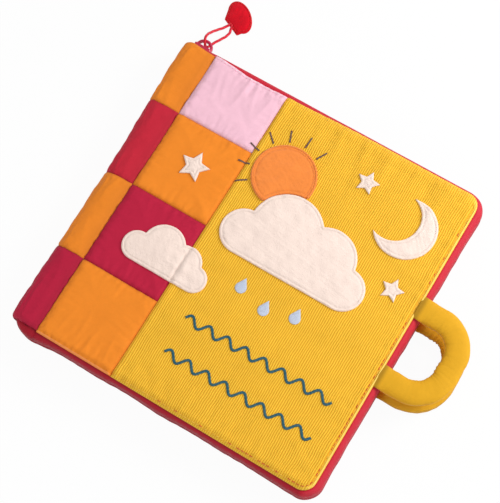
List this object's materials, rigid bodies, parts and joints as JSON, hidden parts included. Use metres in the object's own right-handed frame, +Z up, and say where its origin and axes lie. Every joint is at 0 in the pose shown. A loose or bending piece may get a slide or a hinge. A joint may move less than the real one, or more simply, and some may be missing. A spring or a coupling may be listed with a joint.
{
  "type": "cloth book",
  "caption": "Padded cloth activity book with a patchwork spine, corduroy cover, sewn pages, a zip round three sides and two carrying loops at the fore edge.",
  "frame": {"origin": "centre of the back cover's underside, on the surface that the book lies on", "axes": "+X to the fore edge and its carrying loops, +Y to the head, +Z up from the back cover to the front cover"},
  "size_m": [0.2956, 0.3033, 0.0343],
  "materials": {
    "pink_cotton": "soft woven cotton",
    "orange_cotton": "soft woven cotton",
    "crimson_cotton": "soft woven cotton",
    "red_cotton": "soft woven cotton",
    "yellow_corduroy": "fine corduroy",
    "gold_cotton": "brushed cotton, padded",
    "cream_cotton": "plain cotton",
    "wadding": "polyester wadding",
    "zip_tape": "woven zip tape",
    "zip_coil": "nylon coil",
    "crimson_metal": "enamelled",
    "red_cord": "round woven cord",
    "red_velour": "short velour",
    "peach_plush": "short plush",
    "orange_plush": "short plush",
    "brown_thread": "satin stitch",
    "teal_thread": "satin stitch",
    "pale_satin": "satin stitch"
  },
  "bodies": {
    "book_back": {"spine_patch_1": "orange_cotton", "spine_patch_2": "red_cotton", "spine_patch_3": "orange_cotton", "spine_patch_4": "crimson_cotton", "back_panel": "yellow_corduroy", "back_wadding": "wadding", "back_lining": "cream_cotton", "page_block": "cream_cotton", "zip_tape_back": "zip_tape", "zip_coil_back": "zip_coil", "zip_tape_head": "zip_tape", "zip_coil_head": "zip_coil", "zip_tape_tail": "zip_tape", "zip_coil_tail": "zip_coil", "zip_stop": "crimson_metal", "loop_back": "gold_cotton"},
    "front_cover": {"front_patch_1": "pink_cotton", "front_patch_2": "orange_cotton", "front_patch_3": "crimson_cotton", "front_patch_4": "orange_cotton", "front_panel": "yellow_corduroy", "front_wadding": "wadding", "front_lining": "cream_cotton", "zip_tape_front": "zip_tape", "zip_coil_front": "zip_coil", "loop_front": "gold_cotton", "cloud_large": "peach_plush", "cloud_small": "peach_plush", "sun_disc": "orange_plush", "sun_rays": "brown_thread", "moon": "peach_plush", "star_large": "peach_plush", "star_small_1": "peach_plush", "star_small_2": "peach_plush", "raindrop_1": "pale_satin", "raindrop_2": "pale_satin", "raindrop_3": "pale_satin", "wave_row_upper": "teal_thread", "wave_row_lower": "teal_thread"},
    "slider": {"zip_slider": "crimson_metal", "pull_cord": "red_cord", "pull_tab_upper": "red_velour", "pull_tab_lower": "red_velour"}
  },
  "joints": [
    {"name": "front_cover_hinge", "type": "hinge", "parent": "book_back", "child": "front_cover", "pos_m": [-0.11125, 0, 0.032], "axis": [0, -1, 0], "range_deg": [0, 180]},
    {"name": "slider_slide", "type": "slide", "parent": "book_back", "child": "slider", "axis": [1, 0, 0], "range_m": [0, 0.2]}
  ]
}
